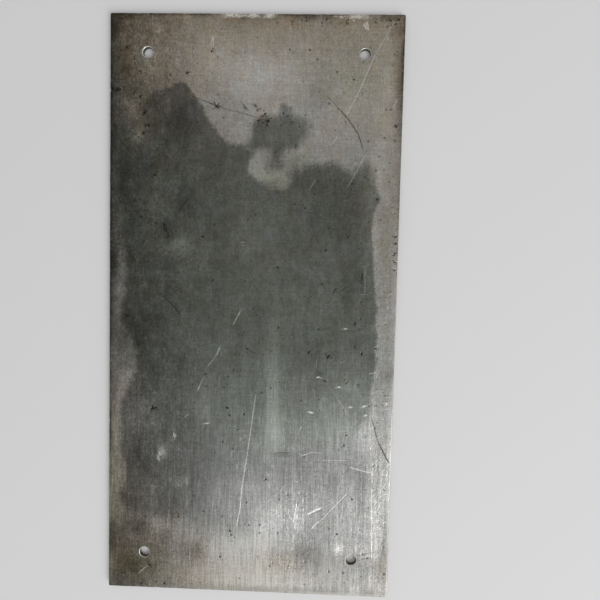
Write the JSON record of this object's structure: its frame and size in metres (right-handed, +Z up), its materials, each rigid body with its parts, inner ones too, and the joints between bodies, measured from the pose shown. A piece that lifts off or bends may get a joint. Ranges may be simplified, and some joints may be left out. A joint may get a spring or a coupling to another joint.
{
  "type": "steel plate",
  "caption": "Flat rectangular plate of bare ground mild steel with sheared edges and a clearance hole near each corner, for bolting down or cutting up as stock.",
  "frame": {"origin": "middle of the underside, which lies on the floor", "axes": "+X across the width, +Y along the length, +Z up through the thickness"},
  "size_m": [0.149, 0.3, 0.0025],
  "materials": {
    "bare_steel": "ground along its length, tarnished and scratched"
  },
  "bodies": {
    "root": {"steel_plate": "bare_steel"}
  },
  "joints": []
}
